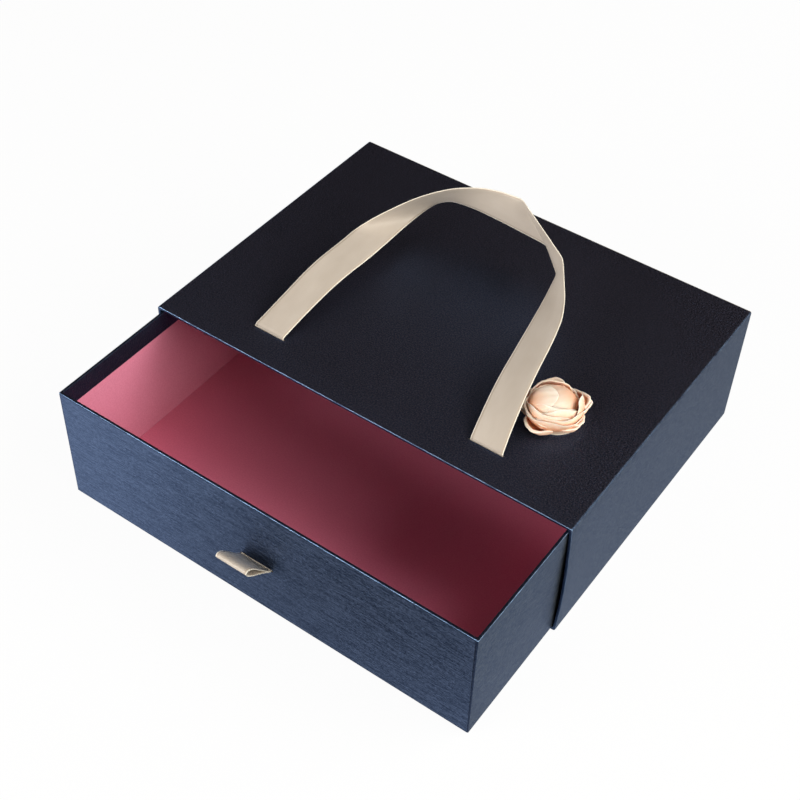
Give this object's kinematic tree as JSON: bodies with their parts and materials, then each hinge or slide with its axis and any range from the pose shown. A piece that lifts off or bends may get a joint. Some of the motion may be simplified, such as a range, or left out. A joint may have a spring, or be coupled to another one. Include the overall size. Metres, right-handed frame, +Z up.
{
  "type": "gift box",
  "caption": "Rigid covered-board gift box: a sleeve with a pull-out drawer, a ribbon carrying handle, a satin rose and a ribbon pull tab.",
  "frame": {"origin": "the middle of the sleeve's underside, on the table", "axes": "+Z up; -Y is the way the drawer opens; +X is to the right of someone who faces the drawer front"},
  "size_m": [0.34, 0.3777, 0.1636],
  "materials": {
    "navy_paper": "embossed covering paper with a fine brushed grain and a slight pearl",
    "greyboard": "raw greyboard",
    "inner_paper": "plain matt paper",
    "rose_paper": "smooth lining paper with a soft pearl",
    "satin_ribbon": "double-faced satin",
    "satin_petal": "satin, cut and curled",
    "felt": "pressed felt"
  },
  "bodies": {
    "sleeve": {"sleeve_base_board": "greyboard", "sleeve_left_board": "greyboard", "sleeve_right_board": "greyboard", "sleeve_top_board": "greyboard", "sleeve_back_board": "greyboard", "sleeve_wrap": "navy_paper", "sleeve_base_paper": "navy_paper", "sleeve_lining": "inner_paper", "handle_tail_left": "satin_ribbon", "handle_tail_right": "satin_ribbon", "rose_felt": "felt", "rose_petal_outer_1": "satin_petal", "rose_petal_outer_2": "satin_petal", "rose_petal_outer_3": "satin_petal", "rose_petal_outer_4": "satin_petal", "rose_petal_outer_5": "satin_petal", "rose_petal_middle_1": "satin_petal", "rose_petal_middle_2": "satin_petal", "rose_petal_middle_3": "satin_petal", "rose_petal_middle_4": "satin_petal", "rose_petal_middle_5": "satin_petal", "rose_petal_inner_1": "satin_petal", "rose_petal_inner_2": "satin_petal", "rose_petal_inner_3": "satin_petal", "rose_petal_inner_4": "satin_petal", "rose_bud": "satin_petal"},
    "drawer": {"drawer_base_board": "greyboard", "drawer_front_board": "greyboard", "drawer_back_board": "greyboard", "drawer_left_board": "greyboard", "drawer_right_board": "greyboard", "drawer_wrap": "navy_paper", "drawer_base_paper": "navy_paper", "drawer_lining_floor": "rose_paper", "drawer_lining_walls": "rose_paper", "pull_tab_tail": "satin_ribbon"},
    "handle": {"handle_ribbon": "satin_ribbon"},
    "tab": {"pull_tab": "satin_ribbon"}
  },
  "joints": [
    {"name": "drawer_slide", "type": "slide", "parent": "sleeve", "child": "drawer", "axis": [0, -1, 0], "range_m": [-0.1005, 0.13]},
    {"name": "handle_swing", "type": "hinge", "parent": "sleeve", "child": "handle", "pos_m": [0, -0.0998, 0.10555], "axis": [1, 0, 0], "range_deg": [0, 130]},
    {"name": "tab_flex", "type": "hinge", "parent": "drawer", "child": "tab", "pos_m": [0, -0.2273, 0.047], "axis": [1, 0, 0], "range_deg": [-35, 115], "stiffness_Nm_per_rad": 0.001}
  ]
}
